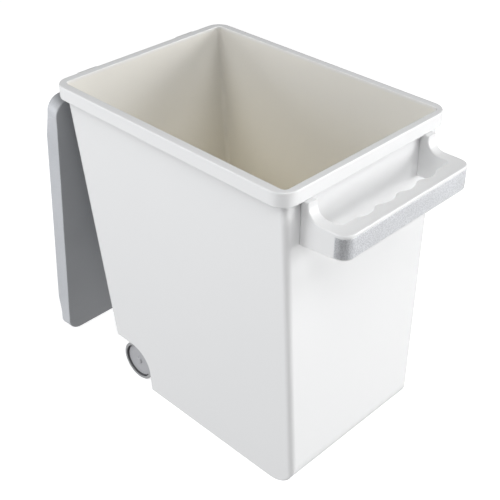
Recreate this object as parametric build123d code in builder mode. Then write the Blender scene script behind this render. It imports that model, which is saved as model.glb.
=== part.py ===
from build123d import *
import os

os.makedirs("parts", exist_ok=True)

# ---------------------------------------------------------------------------
# Wheeled waste bin with a carry handle and a fold-back lid.
# Millimetres, +Z up, handle towards -Y, hinge towards +Y.
# The origin is on the floor, under the middle of the rim.
# The lid is drawn folded right back, hanging behind the bin.
# ---------------------------------------------------------------------------

# rim
RIM_HALF_X = 120.0
RIM_HALF_Y = 164.3
RIM_MID_Y = 1.5
RIM_TOP = 376.0
SKIRT_BOTTOM = 361.0
RIM_CORNER = 18.0
RIM_PLATE = 3.0
SKIRT_WALL = 2.8

# tub walls: half width and front/rear face positions at rim level, and how far
# each one moves per millimetre of height
WALL = 1.7
FLOOR = 3.0
SIDE_TOP = 112.4
SIDE_SLOPE = 0.0366
FRONT_TOP = -156.8
FRONT_SLOPE = 0.0208
REAR_TOP = 157.6
REAR_SLOPE = 0.1025
FRONT_FOOT_R = 34.0
UPRIGHT_R = 6.8
FOOT_EDGE_R = 2.5

# step across the rear bottom edge, where the wheels sit
STEP_TOP = 55.8
STEP_FRONT = 64.9
STEP_R = 29.0
STEP_EDGE_R = 1.2

# wheels and axle
AXLE_Y = 93.9
AXLE_Z = 25.3
AXLE_R = 3.0
WHEEL_R = 24.7
WHEEL_OUTER_X = 93.6
WHEEL_INNER_X = 78.6
RIB_X = 73.0
RIB_T = 4.0

# carry handle
HANDLE_HALF = 93.4
HAND_GAP_HALF = 80.6
BAR_FRONT = -211.0
BAR_TOP = 343.9
BAR_BOTTOM = 318.2
ARM_TOP = 360.7
ARM_FRONT = -167.0
ARM_BACK_R = 2.6
FLARE_R = 13.0
GAP_FRONT = -193.8
FINGER_PITCH = 30.8
FINGER_R = 21.0
FINGER_DEPTH = 4.2
GRIP_LOW = 319.6
GRIP_HIGH = 340.4
GRIP_END_Y = -198.2
GRIP_T = 2.0

# lid, drawn shut and then folded back
LID_HALF_X = 118.4
LID_HALF_Y = 164.3
LID_TOP_HALF_X = 118.3
LID_TOP_HALF_Y = 161.9
LID_CORNER = 17.0
LID_TOP_EDGE_R = 1.2
LIP_X = 121.4
LIP_FRONT = -110.0
LIP_REAR = 120.0
LIP_FADE = 27.0
LID_EDGE_Z = 376.3
LID_DEPTH = 15.5
LID_WALL = 2.5
LID_TOP = LID_EDGE_Z + LID_DEPTH

# double-jointed hinge: pin A stays on the bin, pin B on the lid
HINGE_X = 70.0
PIN_A = Vector(0, 171.0, 369.4)
LINK_LENGTH = 10.54
LINK_SHUT_DEG = 73.5
LINK_OPEN_DEG = -49.9
PIN_R = 1.5
BARREL_R = 3.5
LINK_HALF = 8.0
CHEEK_T = 4.0
FOLD_ANGLE = 264.84

RUN = 0.05
GAP = 0.3


def front_y(z):
    """Outer face of the front wall at height z."""
    return FRONT_TOP - FRONT_SLOPE * (RIM_TOP - z)


def rear_y(z):
    """Outer face of the rear wall at height z."""
    return REAR_TOP - REAR_SLOPE * (RIM_TOP - z)


def side_x(z):
    """Outer face of the side walls at height z."""
    return SIDE_TOP - SIDE_SLOPE * (RIM_TOP - z)


def on_step(edge, inset):
    """True for the outline edges of the stepped corner over the wheels."""
    middle = edge.center()
    low = middle.Z < STEP_TOP + inset + 0.5
    return low and middle.Y > STEP_FRONT - inset - 0.5


def upright_block(inset, floor, top):
    """Four-sided tapered block with rounded upright corners, moved inward by inset."""
    with BuildPart() as block:
        for z in (floor, top):
            middle = (front_y(z) + rear_y(z)) / 2
            with BuildSketch(Plane((0, middle, z))):
                RectangleRounded(2 * (side_x(z) - inset), rear_y(z) - front_y(z) - 2 * inset,
                                 UPRIGHT_R - inset)
        loft()
    return block.part


def tub_form(inset, floor, top):
    """Solid with the tub's side outline and tapered sides, moved inward by inset."""
    with BuildPart() as form:
        with BuildSketch(Plane.YZ) as side:
            with BuildLine():
                Polyline(
                    (front_y(top) + inset, top),
                    (front_y(0) + inset, floor),
                    (STEP_FRONT - inset, floor),
                    (STEP_FRONT - inset, STEP_TOP + inset),
                    (rear_y(STEP_TOP) - inset, STEP_TOP + inset),
                    (rear_y(top) - inset, top),
                    close=True,
                )
            make_face()
            foot = side.vertices().sort_by_distance((front_y(0) + inset, floor, 0))[0]
            fillet(foot, FRONT_FOOT_R - inset)
            arch = side.vertices().sort_by_distance((STEP_FRONT - inset, STEP_TOP + inset, 0))[0]
            fillet(arch, STEP_R + inset)
        extrude(amount=SIDE_TOP + 20, both=True)
        with BuildSketch(Plane.XZ):
            with BuildLine():
                Polyline(
                    (-side_x(top) + inset, top),
                    (-side_x(floor) + inset, floor),
                    (side_x(floor) - inset, floor),
                    (side_x(top) - inset, top),
                    close=True,
                )
            make_face()
        extrude(amount=400, both=True, mode=Mode.INTERSECT)
        outline = ShapeList(e for e in form.edges() if e.bounding_box().size.X < 30)
        outline = outline.filter_by(lambda e: e.center().Z < top - 1)
        fillet(outline.filter_by(lambda e: not on_step(e, inset)), FOOT_EDGE_R - inset)
        add(upright_block(inset, floor, top), mode=Mode.INTERSECT)
    return form.part


outer_form = tub_form(0.0, 0.0, RIM_TOP)
inner_form = tub_form(WALL, FLOOR, RIM_TOP + 6)


def rounded_block(half_x, half_y, low, high, radius):
    """Upright block with rounded plan corners, centred under the middle of the rim."""
    with BuildPart() as block:
        with BuildSketch(Plane((0, RIM_MID_Y, low))):
            RectangleRounded(2 * half_x, 2 * half_y, radius)
        extrude(amount=high - low)
    return block.part


# --- tub: open-topped shell with a flat-topped, skirted rim --------------------
with BuildPart() as rim_block:
    add(rounded_block(RIM_HALF_X, RIM_HALF_Y, SKIRT_BOTTOM, RIM_TOP, RIM_CORNER))
    fillet(rim_block.faces().sort_by(Axis.Z)[-1].edges(), 1.2)
    fillet(rim_block.faces().sort_by(Axis.Z)[0].edges(), 0.8)

with BuildPart() as rim_channel:
    add(rounded_block(RIM_HALF_X - SKIRT_WALL, RIM_HALF_Y - SKIRT_WALL, SKIRT_BOTTOM - 1,
                      RIM_TOP - RIM_PLATE, RIM_CORNER - SKIRT_WALL))
    add(outer_form, mode=Mode.SUBTRACT)

with BuildPart() as bin_body:
    add(outer_form)
    add(rim_block.part)
    add(rim_channel.part, mode=Mode.SUBTRACT)
    # two ribs under the step carry the axle
    for rib_x in (-RIB_X, RIB_X):
        with BuildSketch(Plane.YZ.offset(rib_x)):
            with BuildLine():
                Polyline((STEP_FRONT - 1, STEP_TOP + 1), (STEP_FRONT - 1, 24), (AXLE_Y, AXLE_Z - 9),
                         (AXLE_Y + 9, AXLE_Z), (AXLE_Y + 16, STEP_TOP + 1), close=True)
            make_face()
            with Locations((AXLE_Y, AXLE_Z)):
                Circle(9.0)
        extrude(amount=RIB_T / 2, both=True)
    add(inner_form, mode=Mode.SUBTRACT)
    # axle bore
    with BuildSketch(Plane.YZ):
        with Locations((AXLE_Y, AXLE_Z)):
            Circle(AXLE_R + 0.02)
    extrude(amount=RIB_X + RIB_T, both=True, mode=Mode.SUBTRACT)
    # clearance holes for the handle screws, through the front wall
    with BuildSketch(Plane.XZ.offset(-front_y(340))):
        with Locations(*[(x, z) for x in (-87, 87) for z in (326, 352)]):
            Circle(1.8)
    extrude(amount=8, both=True, mode=Mode.SUBTRACT)
    # pilot holes for the hinge bracket screws, through the rear skirt
    with BuildSketch(Plane.XZ.offset(-(RIM_MID_Y + RIM_HALF_Y - SKIRT_WALL / 2))):
        with Locations(*[(s * HINGE_X + d, 368.5) for s in (-1, 1) for d in (-16.2, 16.2)]):
            Circle(1.3)
    extrude(amount=2, both=True, mode=Mode.SUBTRACT)
    step_edges = bin_body.edges().filter_by(lambda e: on_step(e, 0.0) and e.bounding_box().size.X < 8)
    step_edges = step_edges.filter_by(lambda e: abs(abs(e.center().X) - side_x(e.center().Z)) < 0.2)
    fillet(step_edges, STEP_EDGE_R)
    mouth = bin_body.edges().filter_by(lambda e: abs(e.center().Z - RIM_TOP) < 0.01)
    mouth = mouth.filter_by(lambda e: abs(e.center().X) < 112 and abs(e.center().Y) < 157)
    fillet(mouth, 0.8)
bin_body.part.label = "bin_body"
export_step(bin_body.part, "parts/bin_body.step")

# --- carry handle: U-shaped channel, arms tucked under the rim skirt -----------
def handle_outline(inset, back):
    """Outline of the U seen from above, moved inward by inset, open towards back."""
    with BuildSketch() as outline:
        with BuildLine():
            Polyline((-HANDLE_HALF + inset, back), (-HANDLE_HALF + inset, BAR_FRONT + inset),
                     (HANDLE_HALF - inset, BAR_FRONT + inset), (HANDLE_HALF - inset, back), close=True)
        make_face()
        fillet(outline.vertices().group_by(Axis.Y)[0], 12.0 - inset)
    return outline.sketch


def hand_gap(grow):
    """Opening for the fingers with four grooves in the bar, enlarged by grow."""
    with BuildSketch() as opening:
        with BuildLine():
            Polyline((-HAND_GAP_HALF - grow, -140), (-HAND_GAP_HALF - grow, GAP_FRONT - grow),
                     (HAND_GAP_HALF + grow, GAP_FRONT - grow), (HAND_GAP_HALF + grow, -140), close=True)
        make_face()
        fillet(opening.vertices().group_by(Axis.Y)[0], 6.0)
        with Locations(*[((k - 1.5) * FINGER_PITCH, GAP_FRONT - FINGER_DEPTH + FINGER_R) for k in range(4)]):
            Circle(FINGER_R + grow)
        with BuildLine():
            Polyline((-HAND_GAP_HALF, -150), (-HAND_GAP_HALF, -140), (HAND_GAP_HALF, -140),
                     (HAND_GAP_HALF, -150), close=True)
        make_face()
    return opening.sketch


with BuildPart() as handle_frame:
    with BuildSketch(Plane.YZ) as arm_side:
        with BuildLine():
            Polyline(
                (front_y(313.8) - 0.15, 313.8),
                (front_y(ARM_TOP) - 0.15, ARM_TOP),
                (ARM_FRONT, ARM_TOP),
                (ARM_FRONT, BAR_TOP),
                (BAR_FRONT, BAR_TOP),
                (BAR_FRONT, BAR_BOTTOM),
                (GRIP_END_Y, BAR_BOTTOM),
                close=True,
            )
        make_face()
        flare = arm_side.vertices().sort_by_distance((ARM_FRONT, BAR_TOP, 0))[0]
        fillet(flare, FLARE_R)
    extrude(amount=HANDLE_HALF, both=True)
    with BuildSketch(Plane.XY.offset(300)):
        add(handle_outline(0, -150))
        add(hand_gap(0), mode=Mode.SUBTRACT)
    extrude(amount=80, mode=Mode.INTERSECT)
    top_edges = handle_frame.edges().filter_by(lambda e: 343 < e.center().Z < 361 and e.center().Y < -160)
    top_edges = top_edges.filter_by(lambda e: e.bounding_box().size.X < 0.01 or e.center().Y < -185)
    fillet(top_edges, 1.4)
    # rounded outer back corner of each arm, where it meets the wall
    for side in (-1, 1):
        corner_x = side * (HANDLE_HALF - ARM_BACK_R)
        corner_y = front_y(ARM_TOP) - 0.15 - ARM_BACK_R
        with BuildSketch(Plane.XY.offset(300)):
            with Locations((corner_x + side * (ARM_BACK_R + 1) / 2, corner_y + (ARM_BACK_R + 1) / 2)):
                Rectangle(ARM_BACK_R + 1, ARM_BACK_R + 1)
            with Locations((corner_x, corner_y)):
                Circle(ARM_BACK_R, mode=Mode.SUBTRACT)
        extrude(amount=70, mode=Mode.SUBTRACT)
    # hollow underside, with ribs left standing across the bar
    with BuildSketch(Plane.XY.offset(300)):
        add(handle_outline(4.6, -172))
        add(hand_gap(2.6), mode=Mode.SUBTRACT)
        with Locations(*[(k * FINGER_PITCH, BAR_FRONT) for k in (-2, -1, 0, 1, 2)]):
            Rectangle(1.6, 60, mode=Mode.SUBTRACT)
    extrude(amount=BAR_TOP - 2.6 - 300, mode=Mode.SUBTRACT)
    # shallow recess for the grip, round the front and both corners
    with BuildSketch(Plane.XY.offset(GRIP_LOW - 0.05)):
        add(handle_outline(-1, GRIP_END_Y))
        add(handle_outline(GRIP_T, -150), mode=Mode.SUBTRACT)
    extrude(amount=GRIP_HIGH - GRIP_LOW + 0.1, mode=Mode.SUBTRACT)
    # pilot holes for the screws, into the back of each arm
    with BuildSketch(Plane.XZ.offset(-front_y(340) - 2)):
        with Locations(*[(x, z) for x in (-87, 87) for z in (326, 352)]):
            Circle(1.55)
    extrude(amount=10, mode=Mode.SUBTRACT)
handle_frame.part.label = "handle_frame"
export_step(handle_frame.part, "parts/handle_frame.step")

# --- grip: textured strip let into the front of the bar -------------------------
with BuildPart() as grip_strip:
    with BuildSketch(Plane.XY.offset(GRIP_LOW)):
        add(handle_outline(-0.2, GRIP_END_Y - 0.05))
        add(handle_outline(GRIP_T - 0.05, -150), mode=Mode.SUBTRACT)
    extrude(amount=GRIP_HIGH - GRIP_LOW)
grip_strip.part.label = "grip_strip"
export_step(grip_strip.part, "parts/grip_strip.step")

# --- handle screws: four pan heads, driven from inside the tub ------------------
with BuildPart() as handle_screws:
    for x in (-87, 87):
        for z in (326, 352):
            seat = front_y(z) + WALL + 0.08
            with BuildSketch(Plane((x, seat, z), x_dir=(1, 0, 0), z_dir=(0, -1, 0))):
                Circle(1.5)
            extrude(amount=9.4)
            with BuildSketch(Plane((x, seat, z), x_dir=(1, 0, 0), z_dir=(0, 1, 0))):
                Circle(3.6)
            extrude(amount=2.2, taper=14)
            with BuildSketch(Plane((x, seat + 2.2, z), x_dir=(1, 0, 0), z_dir=(0, -1, 0))):
                Rectangle(3.2, 0.8)
                Rectangle(0.8, 3.2)
            extrude(amount=1.2, mode=Mode.SUBTRACT)
handle_screws.part.label = "handle_screws"
export_step(handle_screws.part, "parts/handle_screws.step")

# --- hinge: bracket on the rim skirt, short link, cheeks on the lid -------------
PIN_B_SHUT = PIN_A + Vector(0, LINK_LENGTH, 0).rotate(Axis.X, LINK_SHUT_DEG)
PIN_B_OPEN = PIN_A + Vector(0, LINK_LENGTH, 0).rotate(Axis.X, LINK_OPEN_DEG)
SIDES = (("left", -1), ("right", 1))


def riveted_pin(centre):
    """Hinge pin along X with a rolled head at each end."""
    with BuildPart() as pin:
        with BuildSketch(Plane.YZ.offset(centre.X)):
            with Locations((centre.Y, centre.Z)):
                Circle(PIN_R)
        extrude(amount=LINK_HALF + CHEEK_T + 1.0, both=True)
        for side in (-1, 1):
            head_x = centre.X + side * (LINK_HALF + GAP + CHEEK_T + 0.05)
            with BuildSketch(Plane((head_x, centre.Y, centre.Z), x_dir=(0, 1, 0), z_dir=(side, 0, 0))):
                Circle(2.3)
            extrude(amount=0.9, taper=30)
    return pin.part


for side_name, side in SIDES:
    hinge_x = side * HINGE_X
    with BuildPart() as hinge_base:
        # foot clipped round the skirt from below
        with BuildSketch(Plane.YZ.offset(hinge_x)):
            with BuildLine():
                Polyline((160.7, 358.4), (167.7, 358.4), (167.7, 373.2), (165.9, 373.2), (165.9, 360.9),
                         (162.9, 360.9), (162.9, 371.5), (160.7, 371.5), close=True)
            make_face()
        extrude(amount=20, both=True)
        # window that lets the link swing
        with BuildSketch(Plane.XZ.offset(-165)):
            with Locations((hinge_x, 369)):
                Rectangle(2 * LINK_HALF + 0.8, 11)
        extrude(amount=-4, mode=Mode.SUBTRACT)
        for cheek in (-1, 1):
            cheek_x = hinge_x + cheek * (LINK_HALF + GAP + CHEEK_T / 2)
            with BuildSketch(Plane.YZ.offset(cheek_x)):
                with Locations((PIN_A.Y, PIN_A.Z)):
                    Circle(BARREL_R)
                with Locations(((166.3 + PIN_A.Y) / 2, PIN_A.Z)):
                    Rectangle(PIN_A.Y - 166.3, 2 * BARREL_R)
            extrude(amount=CHEEK_T / 2, both=True)
        with BuildSketch(Plane.YZ.offset(hinge_x)):
            with Locations((PIN_A.Y, PIN_A.Z)):
                Circle(PIN_R + 0.02)
        extrude(amount=14, both=True, mode=Mode.SUBTRACT)
        with BuildSketch(Plane.XZ.offset(-160)):
            with Locations(*[(hinge_x + d, 368.5) for d in (-16.2, 16.2)]):
                Circle(1.3)
        extrude(amount=-10, mode=Mode.SUBTRACT)
    hinge_base.part.label = "hinge_base_" + side_name
    export_step(hinge_base.part, "parts/hinge_base_" + side_name + ".step")

    with BuildPart() as hinge_link:
        with BuildSketch(Plane.YZ.offset(hinge_x)) as link_side:
            with Locations((PIN_A.Y, PIN_A.Z), (PIN_B_OPEN.Y, PIN_B_OPEN.Z)):
                Circle(BARREL_R)
            make_hull()
            with Locations((PIN_A.Y, PIN_A.Z), (PIN_B_OPEN.Y, PIN_B_OPEN.Z)):
                Circle(PIN_R + RUN, mode=Mode.SUBTRACT)
        extrude(amount=LINK_HALF, both=True)
    hinge_link.part.label = "hinge_link_" + side_name
    export_step(hinge_link.part, "parts/hinge_link_" + side_name + ".step")

with BuildPart() as bin_hinge_pins:
    for side_name, side in SIDES:
        add(riveted_pin(Vector(side * HINGE_X, PIN_A.Y, PIN_A.Z)))
bin_hinge_pins.part.label = "bin_hinge_pins"
export_step(bin_hinge_pins.part, "parts/bin_hinge_pins.step")

with BuildPart() as lid_hinge_pins:
    for side_name, side in SIDES:
        add(riveted_pin(Vector(side * HINGE_X, PIN_B_OPEN.Y, PIN_B_OPEN.Z)))
lid_hinge_pins.part.label = "lid_hinge_pins"
export_step(lid_hinge_pins.part, "parts/lid_hinge_pins.step")

with BuildPart() as hinge_screws:
    for side_name, side in SIDES:
        for d in (-16.2, 16.2):
            head = Plane((side * HINGE_X + d, 167.75, 368.5), x_dir=(1, 0, 0), z_dir=(0, 1, 0))
            with BuildSketch(head):
                Circle(2.6)
            extrude(amount=1.6, taper=16)
            with BuildSketch(head):
                Circle(1.25)
            extrude(amount=-6.6)
            with BuildSketch(head.offset(1.6)):
                Rectangle(2.4, 0.6)
                Rectangle(0.6, 2.4)
            extrude(amount=-0.9, mode=Mode.SUBTRACT)
hinge_screws.part.label = "hinge_screws"
export_step(hinge_screws.part, "parts/hinge_screws.step")

# --- lid: drawn shut on the rim, then folded back behind the tub ----------------
FOLD = Pos(0, PIN_B_OPEN.Y, PIN_B_OPEN.Z) * Rot(-FOLD_ANGLE, 0, 0) * Pos(0, -PIN_B_SHUT.Y, -PIN_B_SHUT.Z)


def lid_form(inset, edge_radius):
    """Shallow block whose long sides flare out into a finger lip, moved inward by inset."""
    high = LID_TOP - inset
    with BuildPart() as form:
        with BuildSketch(Plane((0, RIM_MID_Y, LID_EDGE_Z))):
            RectangleRounded(2 * (LID_HALF_X - inset), 2 * (LID_HALF_Y - inset), LID_CORNER - inset)
        with BuildSketch(Plane((0, RIM_MID_Y, high))):
            RectangleRounded(2 * (LID_TOP_HALF_X - inset), 2 * (LID_TOP_HALF_Y - inset), LID_CORNER - inset)
        loft()
        fillet(form.faces().sort_by(Axis.Z)[-1].edges(), edge_radius)
        for side in (-1, 1):
            for z, lip_x in ((LID_EDGE_Z, LIP_X), (high - edge_radius, LID_TOP_HALF_X)):
                root_x = LID_HALF_X if z == LID_EDGE_Z else LID_TOP_HALF_X
                with BuildSketch(Plane.XY.offset(z)):
                    with BuildLine():
                        Polyline((side * 100, LIP_FRONT - LIP_FADE),
                                 (side * (root_x - inset), LIP_FRONT - LIP_FADE),
                                 (side * (lip_x - inset), LIP_FRONT),
                                 (side * (lip_x - inset), LIP_REAR),
                                 (side * (root_x - inset), LIP_REAR + LIP_FADE),
                                 (side * 100, LIP_REAR + LIP_FADE), close=True)
                    make_face()
            loft(ruled=True)
    return form.part


with BuildPart() as lid_shut:
    add(lid_form(0.0, LID_TOP_EDGE_R))
    # cheeks for the link, behind the rear edge
    for hinge_x in (-HINGE_X, HINGE_X):
        for cheek in (-1, 1):
            cheek_x = hinge_x + cheek * (LINK_HALF + GAP + CHEEK_T / 2)
            with BuildSketch(Plane.YZ.offset(cheek_x)):
                with BuildLine():
                    Polyline((161.5, 377.2), (173.2, 376.9), (PIN_B_SHUT.Y, PIN_B_SHUT.Z + BARREL_R),
                             (161.5, 386.5), close=True)
                make_face()
                with Locations((PIN_B_SHUT.Y, PIN_B_SHUT.Z)):
                    Circle(BARREL_R)
            extrude(amount=CHEEK_T / 2, both=True)
    add(lid_form(LID_WALL, 0.4), mode=Mode.SUBTRACT)
    with BuildSketch(Plane.YZ):
        with Locations((PIN_B_SHUT.Y, PIN_B_SHUT.Z)):
            Circle(PIN_R + 0.02)
    extrude(amount=90, both=True, mode=Mode.SUBTRACT)

with BuildPart() as lid_cover:
    add(FOLD * lid_shut.part)
lid_cover.part.label = "lid_cover"
export_step(lid_cover.part, "parts/lid_cover.step")

# --- lid liner: inner panel with a plug ring that drops inside the rim ----------
PLUG_LOW = 369.0
PANEL_LOW = 384.2
with BuildPart() as liner_shut:
    add(rounded_block(115.4, 159.4, PANEL_LOW, PANEL_LOW + 2.0, 14))
    add(rounded_block(106.0, 150.4, PLUG_LOW, PANEL_LOW, 10))
    add(rounded_block(103.8, 148.2, PLUG_LOW, PANEL_LOW, 8), mode=Mode.SUBTRACT)
    with BuildSketch(Plane((0, RIM_MID_Y, PANEL_LOW - 4))):
        with Locations((-52, 0), (0, 0), (52, 0)):
            Rectangle(1.6, 297)
        with Locations((0, -90), (0, -30), (0, 30), (0, 90)):
            Rectangle(208, 1.6)
    extrude(amount=4)

with BuildPart() as lid_liner:
    add(FOLD * liner_shut.part)
lid_liner.part.label = "lid_liner"
export_step(lid_liner.part, "parts/lid_liner.step")

# --- lid seal: soft ring that meets the flat top of the rim ---------------------
with BuildPart() as seal_shut:
    add(rounded_block(115.2, 159.2, LID_EDGE_Z + 0.1, PANEL_LOW - 0.05, 14))
    add(rounded_block(111.6, 155.6, LID_EDGE_Z + 0.1, PANEL_LOW - 0.05, 10.4), mode=Mode.SUBTRACT)

with BuildPart() as lid_seal:
    add(FOLD * seal_shut.part)
lid_seal.part.label = "lid_seal"
export_step(lid_seal.part, "parts/lid_seal.step")

# --- axle, with a spacer inside and a push nut outside each wheel ---------------
AXLE_END = 87.6


def turned(points):
    """Solid of revolution about the axle from (distance along X, radius) points."""
    with BuildPart() as solid:
        with BuildSketch(Plane((0, AXLE_Y, AXLE_Z), x_dir=(1, 0, 0), z_dir=(0, -1, 0))):
            with BuildLine():
                Polyline(*points, close=True)
            make_face()
        revolve(axis=Axis((0, AXLE_Y, AXLE_Z), (1, 0, 0)))
    return solid.part


with BuildPart() as axle:
    add(turned([(-AXLE_END, 0), (-AXLE_END, AXLE_R - 0.5), (-AXLE_END + 0.5, AXLE_R),
                (AXLE_END - 0.5, AXLE_R), (AXLE_END, AXLE_R - 0.5), (AXLE_END, 0)]))
axle.part.label = "axle"
export_step(axle.part, "parts/axle.step")

with BuildPart() as axle_spacers:
    for side_name, side in SIDES:
        add(turned([(side * 75.05, AXLE_R + 0.02), (side * 75.05, 6.0), (side * 77.3, 6.0),
                    (side * 77.3, AXLE_R + 0.02)]))
axle_spacers.part.label = "axle_spacers"
export_step(axle_spacers.part, "parts/axle_spacers.step")

with BuildPart() as axle_nuts:
    for side_name, side in SIDES:
        add(turned([(side * 86.1, AXLE_R + 0.02), (side * 86.1, 6.2), (side * 86.7, 6.2),
                    (side * 87.4, 4.4), (side * 87.4, AXLE_R + 0.02)]))
axle_nuts.part.label = "axle_nuts"
export_step(axle_nuts.part, "parts/axle_nuts.step")

# --- wheels: soft tyre, moulded hub and snap-in cap -----------------------------
TYRE_BORE = 22.3
for side_name, side in SIDES:
    with BuildPart() as wheel_tyre:
        add(turned([(side * WHEEL_INNER_X, TYRE_BORE), (side * WHEEL_INNER_X, WHEEL_R - 1.6),
                    (side * (WHEEL_INNER_X + 1.6), WHEEL_R), (side * (WHEEL_OUTER_X - 1.0), WHEEL_R),
                    (side * WHEEL_OUTER_X, WHEEL_R - 1.0), (side * WHEEL_OUTER_X, 21.1),
                    (side * (WHEEL_OUTER_X - 0.8), 21.1), (side * (WHEEL_OUTER_X - 0.8), TYRE_BORE)]))
    wheel_tyre.part.label = "wheel_tyre_" + side_name
    export_step(wheel_tyre.part, "parts/wheel_tyre_" + side_name + ".step")

    with BuildPart() as wheel_hub:
        add(turned([(side * 77.7, AXLE_R + RUN), (side * 77.7, 6.2), (side * 82.6, 6.2), (side * 82.6, 21.0),
                    (side * 79.0, 21.0), (side * 79.0, TYRE_BORE - 0.02), (side * 92.7, TYRE_BORE - 0.02),
                    (side * 92.7, 21.0), (side * 85.0, 21.0), (side * 85.0, 6.2), (side * 85.8, 6.2),
                    (side * 85.8, AXLE_R + RUN)]))
    wheel_hub.part.label = "wheel_hub_" + side_name
    export_step(wheel_hub.part, "parts/wheel_hub_" + side_name + ".step")

    with BuildPart() as wheel_cap:
        add(turned([(side * 88.4, 0), (side * 88.4, 16.4), (side * 85.05, 16.4), (side * 85.05, 18.0),
                    (side * 88.4, 18.0), (side * 88.4, 20.2), (side * 90.4, 20.2), (side * 90.8, 19.8),
                    (side * 90.8, 4.2), (side * 92.3, 3.4), (side * 92.7, 2.6), (side * 92.7, 0)]))
    wheel_cap.part.label = "wheel_cap_" + side_name
    export_step(wheel_cap.part, "parts/wheel_cap_" + side_name + ".step")
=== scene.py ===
import bpy
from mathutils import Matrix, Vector

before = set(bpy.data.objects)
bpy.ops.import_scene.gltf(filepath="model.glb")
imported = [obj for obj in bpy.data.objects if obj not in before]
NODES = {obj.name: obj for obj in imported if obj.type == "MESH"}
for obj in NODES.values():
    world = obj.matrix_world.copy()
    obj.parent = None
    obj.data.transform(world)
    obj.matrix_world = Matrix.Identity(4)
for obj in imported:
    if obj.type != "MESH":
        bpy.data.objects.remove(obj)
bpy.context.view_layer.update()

SCENE = bpy.context.scene

# strengths of the floor's own glow, the sky below and above the horizon, and the softboxes
FLOOR_GLOW = 0.62
SKY_LOW = 0.66
SKY_HIGH = 0.045
RIGHT_POWER = 53.5
LEFT_POWER = 27.0
RIGHT_HIGH_POWER = 17.2
LEFT_HIGH_POWER = 20.4
FRONT_TOP_POWER = 18.5

# places on the tub, in metres, that bound its creamy inside, and the heights over which painted shade
# deepens the creamy tint towards the tub's floor
RIM_TOP = 0.376
RIM_BAND = 0.004
STEP_FRONT = 0.0655
STEP_TOP = 0.0560
STEP_BLEND = 0.0005
PAINTED_SHADE_TOP = 0.340
PAINTED_SHADE_BOTTOM = 0.060

FLOOR_HALF = 8.0
LIGHT_TARGET = (0, 0, 0.2)
# reach of the ambient-occlusion mask that paints shade into the lid's colour
PAINTED_SHADE_REACH = 0.30


# ---------------------------------------------------------------------------
# small helpers for shader trees
# ---------------------------------------------------------------------------
def rgba(colour):
    return colour if isinstance(colour, bpy.types.NodeSocket) else (*colour, 1)


class Tree:
    """A material's node tree with short calls to add and join nodes."""

    def __init__(self, name):
        self.material = bpy.data.materials.new(name)
        self.material.use_nodes = True
        self.nodes = self.material.node_tree.nodes
        self.links = self.material.node_tree.links
        self.shader = self.nodes["Principled BSDF"]

    def add(self, kind, **inputs):
        node = self.nodes.new(kind)
        for key, value in inputs.items():
            self.feed(node, key, value)
        return node

    def feed(self, node, key, value):
        """Join a socket, or set a number or colour; the key is the input's name or its place."""
        if isinstance(value, bpy.types.NodeSocket):
            self.links.new(value, node.inputs[key])
        else:
            node.inputs[key].default_value = value

    def math(self, operation, a, b, clamp=False):
        node = self.nodes.new("ShaderNodeMath")
        node.operation = operation
        node.use_clamp = clamp
        self.feed(node, 0, a)
        self.feed(node, 1, b)
        return node.outputs[0]

    def vector(self, operation, a, b, output="Vector"):
        node = self.nodes.new("ShaderNodeVectorMath")
        node.operation = operation
        self.feed(node, 0, a)
        self.feed(node, 1, b)
        return node.outputs[output]

    def remap(self, value, low, high, to_low=0.0, to_high=1.0):
        node = self.add("ShaderNodeMapRange", Value=value)
        node.inputs["From Min"].default_value = low
        node.inputs["From Max"].default_value = high
        node.inputs["To Min"].default_value = to_low
        node.inputs["To Max"].default_value = to_high
        return node.outputs["Result"]

    def place(self):
        return self.nodes.new("ShaderNodeTexCoord").outputs["Object"]

    def geometry(self, output):
        return self.nodes.new("ShaderNodeNewGeometry").outputs[output]

    def split(self, vector):
        return self.add("ShaderNodeSeparateXYZ", Vector=vector).outputs

    def noise(self, scale, detail=3.0, roughness=0.5, stretch=(1, 1, 1)):
        mapping = self.add("ShaderNodeMapping", Vector=self.place(), Scale=stretch)
        node = self.add("ShaderNodeTexNoise", Vector=mapping.outputs[0], Scale=scale, Detail=detail,
                        Roughness=roughness)
        return node.outputs["Fac"]

    def mix(self, factor, a, b):
        node = self.nodes.new("ShaderNodeMix")
        node.data_type = "RGBA"
        self.feed(node, 0, factor)
        self.feed(node, 6, rgba(a))
        self.feed(node, 7, rgba(b))
        return node.outputs[2]

    def soft_edges(self, radius):
        node = self.add("ShaderNodeBevel", Radius=radius)
        node.samples = 6
        return node.outputs[0]

    def edge_mask(self, radius):
        """1 on sharp edges, 0 on flat stretches."""
        likeness = self.vector("DOT_PRODUCT", self.soft_edges(radius), self.geometry("Normal"), "Value")
        return self.remap(likeness, 0.98, 0.65)

    def bump(self, height, distance, strength=1.0, normal=None):
        node = self.add("ShaderNodeBump", Height=height, Distance=distance, Strength=strength)
        if normal is not None:
            self.links.new(normal, node.inputs["Normal"])
        return node.outputs[0]

    def finish(self, colour, roughness, normal, metallic=0.0, specular=0.5):
        self.feed(self.shader, "Base Color", rgba(colour))
        self.feed(self.shader, "Roughness", roughness)
        self.feed(self.shader, "Normal", normal)
        self.shader.inputs["Metallic"].default_value = metallic
        self.shader.inputs["Specular IOR Level"].default_value = specular
        return self.material


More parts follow.
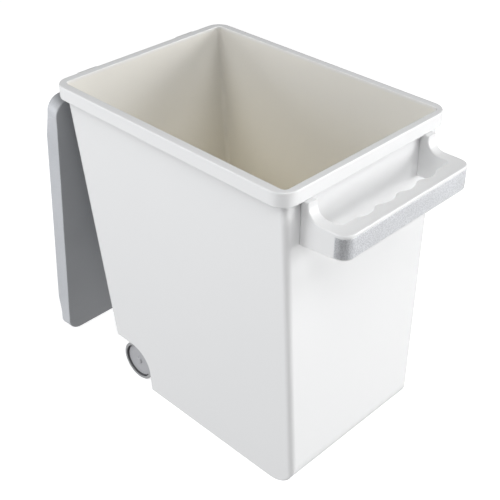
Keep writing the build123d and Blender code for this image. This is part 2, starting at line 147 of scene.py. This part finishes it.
# ---------------------------------------------------------------------------
# materials
# ---------------------------------------------------------------------------
def inside_of_tub(t):
    """A mask, 1 on faces inside the tub and 0 on its outside and rim, and the height of each point."""
    place = t.split(t.geometry("Position"))
    level = t.vector("MULTIPLY", t.geometry("Position"), (1, 1, 0))
    inward = t.vector("DOT_PRODUCT", level, t.geometry("Normal"), "Value")
    wall = t.remap(inward, 0.0, -0.02)
    facing_up = t.remap(t.split(t.geometry("Normal"))["Z"], 0.15, 0.35)
    tub_floor = t.math("MULTIPLY", facing_up, t.remap(place["Z"], 0.345, 0.335))
    ahead_of_step = t.remap(place["Y"], STEP_FRONT, STEP_FRONT + STEP_BLEND, 1.0, 0.0)
    above_step = t.remap(place["Z"], STEP_TOP, STEP_TOP + STEP_BLEND)
    inside = t.math("MULTIPLY", t.math("MAXIMUM", wall, tub_floor),
                    t.math("MAXIMUM", ahead_of_step, above_step))
    below_rim = t.remap(place["Z"], RIM_TOP, RIM_TOP - RIM_BAND)
    return t.math("MULTIPLY", inside, below_rim, clamp=True), place["Z"]


def white_shell(name, dark, light, roughness, creamy_and_shaded_inside):
    """Satin injection-moulded white; optionally tinted creamy inside, with painted shade that deepens the
    tint towards the tub's floor.
    """
    t = Tree(name)
    cloud = t.remap(t.noise(7.0, 3.0, 0.5), 0.3, 0.7)
    colour = t.mix(cloud, dark, light)
    if creamy_and_shaded_inside:
        inside, height = inside_of_tub(t)
        upper = t.mix(cloud, (0.862, 0.846, 0.800), (0.872, 0.858, 0.815))
        deep_tone_with_painted_shade = t.mix(cloud, (0.880, 0.810, 0.635), (0.890, 0.822, 0.650))
        # painted shade: the inside's tint deepens towards the tub's floor
        inside_tint_and_painted_shade = t.mix(t.remap(height, PAINTED_SHADE_TOP, PAINTED_SHADE_BOTTOM), upper, deep_tone_with_painted_shade)
        colour = t.mix(inside, colour, inside_tint_and_painted_shade)
    # edges lightened towards pale white: wear and painted sheen
    colour = t.mix(t.math("MULTIPLY", t.edge_mask(0.0008), 0.35), colour, (0.87, 0.872, 0.87))
    satin = t.remap(cloud, 0.0, 1.0, roughness, roughness + 0.03)
    scuff = t.remap(t.noise(55.0, 4.0, 0.65), 0.5, 0.85, 0.0, 0.06)
    normal = t.bump(t.noise(6.0, 1.0, 0.3), 0.0008, 0.06, t.soft_edges(0.0007))
    normal = t.bump(t.noise(900.0, 2.0, 0.5), 0.000006, 0.25, normal)
    return t.finish(colour, t.math("ADD", satin, scuff), normal)


def grained_plastic(name, dark, light, roughness, shade=1.0):
    """Moulded plastic with a fine spark-eroded grain; where an ambient-occlusion mask finds it enclosed,
    its colour carries painted shade, multiplied down by the factor shade.
    """
    t = Tree(name)
    cloud = t.noise(16.0, 5.0, 0.6)
    fine = t.noise(1100.0, 3.0, 0.6)
    colour = t.mix(t.remap(cloud, 0.3, 0.7), dark, light)
    colour = t.mix(t.remap(fine, 0.35, 0.65, 0.0, 0.18), colour, tuple(min(1, c * 1.25) for c in light))
    # edges lightened: wear and painted sheen
    wear_and_sheen = t.math("MULTIPLY", t.edge_mask(0.0007), 0.4)
    colour = t.mix(wear_and_sheen, colour, tuple(min(1, c * 1.3 + 0.04) for c in light))
    # painted shade: where the part is enclosed, its colour is multiplied down by the factor shade
    if shade < 1.0:
        painted_shade_ao = t.add("ShaderNodeAmbientOcclusion", Distance=PAINTED_SHADE_REACH)
        painted_shade_ao.samples = 8
        free_of_painted_shade = t.remap(painted_shade_ao.outputs["AO"], 0.80, 0.96)
        colour = t.mix(free_of_painted_shade, t.vector("MULTIPLY", colour, (shade, shade, shade)), colour)
    rough = t.math("ADD", t.remap(cloud, 0.3, 0.7, roughness - 0.04, roughness + 0.04),
                   t.remap(fine, 0.3, 0.7, -0.03, 0.05))
    normal = t.bump(fine, 0.00008, 0.6, t.soft_edges(0.0007))
    return t.finish(colour, rough, normal)


def grip_material():
    """Silvery speckled strip with a pimpled surface."""
    t = Tree("grip")
    cells = t.add("ShaderNodeTexVoronoi", Vector=t.place(), Scale=760.0, Randomness=1.0)
    speck = t.noise(700.0, 2.0, 0.6)
    tone = t.math("ADD", t.math("MULTIPLY", cells.outputs["Distance"], 0.9), t.math("MULTIPLY", speck, 0.8))
    colour = t.mix(t.remap(tone, 0.45, 1.05), (0.56, 0.570, 0.595), (0.83, 0.845, 0.87))
    patch = t.noise(40.0, 3.0, 0.6)
    colour = t.mix(t.remap(patch, 0.35, 0.65, 0.0, 0.25), colour, (0.63, 0.635, 0.65))
    pimple = t.remap(cells.outputs["Distance"], 0.1, 0.6, 1.0, 0.0)
    normal = t.bump(pimple, 0.00018, 0.55, t.soft_edges(0.0005))
    return t.finish(colour, t.remap(tone, 0.4, 1.1, 0.38, 0.50), normal, metallic=0.9)


def zinc_material():
    """Zinc-plated steel with a turned finish and dull patches."""
    t = Tree("zinc")
    lines = t.noise(260.0, 4.0, 0.7, (6, 1, 1))
    patch = t.noise(90.0, 4.0, 0.6)
    colour = t.mix(t.remap(patch, 0.35, 0.7), (0.62, 0.64, 0.66), (0.44, 0.45, 0.46))
    # edges lightened: wear and painted sheen
    colour = t.mix(t.math("MULTIPLY", t.edge_mask(0.0004), 0.5), colour, (0.82, 0.83, 0.84))
    rough = t.math("ADD", t.remap(patch, 0.3, 0.7, 0.24, 0.42), t.remap(lines, 0.3, 0.7, -0.04, 0.06))
    normal = t.bump(lines, 0.00005, 0.6, t.soft_edges(0.0003))
    return t.finish(colour, rough, normal, metallic=1.0)


def rubber_material(name, dark, light):
    """Matt rubber, slightly dusty."""
    t = Tree(name)
    dust = t.noise(60.0, 6.0, 0.7)
    colour = t.mix(t.remap(dust, 0.35, 0.7), dark, light)
    normal = t.bump(t.noise(1400.0, 2.0, 0.6), 0.00010, 0.6, t.soft_edges(0.0006))
    return t.finish(colour, t.remap(dust, 0.3, 0.7, 0.55, 0.75), normal, specular=0.35)


# each material with the nodes that wear it
WARDROBE = (
    # the tub's inside carries a creamy tint with painted shade towards its floor
    (white_shell("white_shell", (0.862, 0.867, 0.872), (0.870, 0.874, 0.878), 0.20, creamy_and_shaded_inside=True),
     ("bin_body",)),
    # the handle's white is a little darker than the tub's, as painted shade
    (white_shell("white_handle", (0.832, 0.836, 0.840), (0.842, 0.845, 0.848), 0.34, creamy_and_shaded_inside=False),
     ("handle_frame",)),
    (grip_material(), ("grip_strip",)),
    (zinc_material(),
     ("handle_screws", "hinge_screws", "bin_hinge_pins", "lid_hinge_pins", "axle", "axle_nuts")),
    (grained_plastic("hinge_plastic", (0.60, 0.605, 0.61), (0.66, 0.665, 0.67), 0.42),
     ("hinge_base_left", "hinge_base_right", "hinge_link_left", "hinge_link_right")),
    # the lid's colour carries painted shade where it is enclosed
    (grained_plastic("lid_plastic", (0.570, 0.587, 0.615), (0.605, 0.620, 0.650), 0.40, shade=0.53),
     ("lid_cover",)),
    (grained_plastic("liner_plastic", (0.66, 0.665, 0.67), (0.71, 0.715, 0.72), 0.45), ("lid_liner",)),
    (rubber_material("seal_rubber", (0.20, 0.205, 0.21), (0.27, 0.275, 0.28)), ("lid_seal",)),
    (grained_plastic("spacer_plastic", (0.70, 0.70, 0.69), (0.76, 0.76, 0.75), 0.45), ("axle_spacers",)),
    (rubber_material("wheel_tread", (0.38, 0.385, 0.39), (0.45, 0.455, 0.46)),
     ("wheel_tyre_left", "wheel_tyre_right")),
    # the hub, whose bore forms the wheel's recess wall, is made dark as painted shade
    (grained_plastic("hub_plastic", (0.100, 0.100, 0.106), (0.135, 0.135, 0.141), 0.45),
     ("wheel_hub_left", "wheel_hub_right")),
    (grained_plastic("wheel_plastic", (0.435, 0.44, 0.46), (0.48, 0.485, 0.505), 0.38),
     ("wheel_cap_left", "wheel_cap_right")),
)
for material, wearers in WARDROBE:
    for node in wearers:
        mesh = NODES[node].data
        mesh.materials.clear()
        mesh.materials.append(material)


# ---------------------------------------------------------------------------
# floor, lights, camera
# ---------------------------------------------------------------------------
def card(name, corners, unseen_by):
    """A four-cornered sheet that the named kinds of ray pass through."""
    mesh = bpy.data.meshes.new(name)
    mesh.from_pydata(corners, [], [(0, 1, 2, 3)])
    sheet = bpy.data.objects.new(name, mesh)
    for ray in unseen_by:
        setattr(sheet, "visible_" + ray, False)
    SCENE.collection.objects.link(sheet)
    return sheet


studio_floor = card("studio_floor", [(-FLOOR_HALF, -FLOOR_HALF, 0), (FLOOR_HALF, -FLOOR_HALF, 0),
                                     (FLOOR_HALF, FLOOR_HALF, 0), (-FLOOR_HALF, FLOOR_HALF, 0)],
                    ("diffuse", "shadow", "glossy"))
floor_tree = Tree("studio_floor")
floor_tone = floor_tree.noise(3.0, 3.0, 0.5)
floor_colour = floor_tree.mix(floor_tone, (0.93, 0.93, 0.93), (0.95, 0.95, 0.95))
floor_bump = floor_tree.bump(floor_tree.noise(300.0, 2.0, 0.5), 0.0001, 0.2)
floor_tree.finish(floor_colour, 0.75, floor_bump, specular=0.2)
floor_tree.shader.inputs["Emission Color"].default_value = (1, 1, 1, 1)
floor_tree.shader.inputs["Emission Strength"].default_value = FLOOR_GLOW
studio_floor.data.materials.append(floor_tree.material)


def dark_flag(name, corners):
    """A dark card that only mirror rays see, for the grip's corner to reflect."""
    flag = card(name, corners, ("camera", "diffuse", "shadow", "transmission", "volume_scatter"))
    tree = Tree(name)
    colour = tree.mix(tree.noise(20.0), (0.02, 0.02, 0.02), (0.04, 0.04, 0.04))
    tree.finish(colour, 0.9, tree.bump(tree.noise(400.0), 0.0002, 0.3), specular=0.1)
    flag.data.materials.append(tree.material)


dark_flag("front_flag",
          [(-0.1, -0.72, 0.005), (-0.72, -0.1, 0.005), (-1.3, -0.68, 0.005), (-0.68, -1.3, 0.005)])
dark_flag("side_flag",
          [(-0.19, -0.22, 0.16), (-0.30, -0.06, 0.16), (-0.30, -0.03, 0.26), (-0.19, -0.19, 0.26)])

# a sky that is light below the horizon, in place of the floor's bounce, and dim above it
world = bpy.data.worlds.new("studio_world")
world.use_nodes = True
SCENE.world = world
sky_nodes = world.node_tree.nodes
sky_links = world.node_tree.links
sky_place = sky_nodes.new("ShaderNodeTexCoord")
sky_split = sky_nodes.new("ShaderNodeSeparateXYZ")
sky_blend = sky_nodes.new("ShaderNodeMapRange")
sky_blend.inputs["From Min"].default_value = -0.15
sky_blend.inputs["From Max"].default_value = 0.15
sky_mix = sky_nodes.new("ShaderNodeMix")
sky_mix.data_type = "RGBA"
sky_mix.inputs[6].default_value = (SKY_LOW, SKY_LOW, SKY_LOW, 1)
sky_mix.inputs[7].default_value = (SKY_HIGH, SKY_HIGH, SKY_HIGH, 1)
sky_links.new(sky_place.outputs["Generated"], sky_split.inputs[0])
sky_links.new(sky_split.outputs["Z"], sky_blend.inputs["Value"])
sky_links.new(sky_blend.outputs["Result"], sky_mix.inputs[0])
sky_links.new(sky_mix.outputs[2], sky_nodes["Background"].inputs["Color"])


def softbox(name, place, width, height, power, colour=(1, 1, 1)):
    light = bpy.data.lights.new(name, "AREA")
    light.shape = "RECTANGLE"
    light.size = width
    light.size_y = height
    light.energy = power
    light.color = colour
    lamp = bpy.data.objects.new(name, light)
    lamp.location = place
    lamp.rotation_mode = "QUATERNION"
    lamp.rotation_quaternion = (Vector(LIGHT_TARGET) - Vector(place)).to_track_quat("-Z", "Y")
    SCENE.collection.objects.link(lamp)


softbox("right_softbox", (1.8, -2.1, 0.7), 1.4, 1.2, RIGHT_POWER)
softbox("left_softbox", (-2.2, 1.7, 0.7), 1.4, 1.2, LEFT_POWER, (0.96, 0.975, 1.0))
softbox("right_high_softbox", (0.9, -1.7, 2.2), 1.0, 1.0, RIGHT_HIGH_POWER)
softbox("left_high_softbox", (-1.8, 0.7, 2.1), 1.0, 1.0, LEFT_HIGH_POWER)
softbox("front_top_softbox", (-1.0, -1.0, 2.4), 1.0, 1.0, FRONT_TOP_POWER)

camera_data = bpy.data.cameras.new("camera")
camera_data.lens = 70.0
camera_data.sensor_width = 36.0
camera = bpy.data.objects.new("camera", camera_data)
camera.location = (-0.63655, -0.63318, 0.79820)
camera.rotation_mode = "QUATERNION"
camera.rotation_quaternion = Vector((0.58805, 0.58117, -0.56253)).to_track_quat("-Z", "Y")
SCENE.collection.objects.link(camera)
SCENE.camera = camera
SCENE.view_settings.view_transform = "Standard"
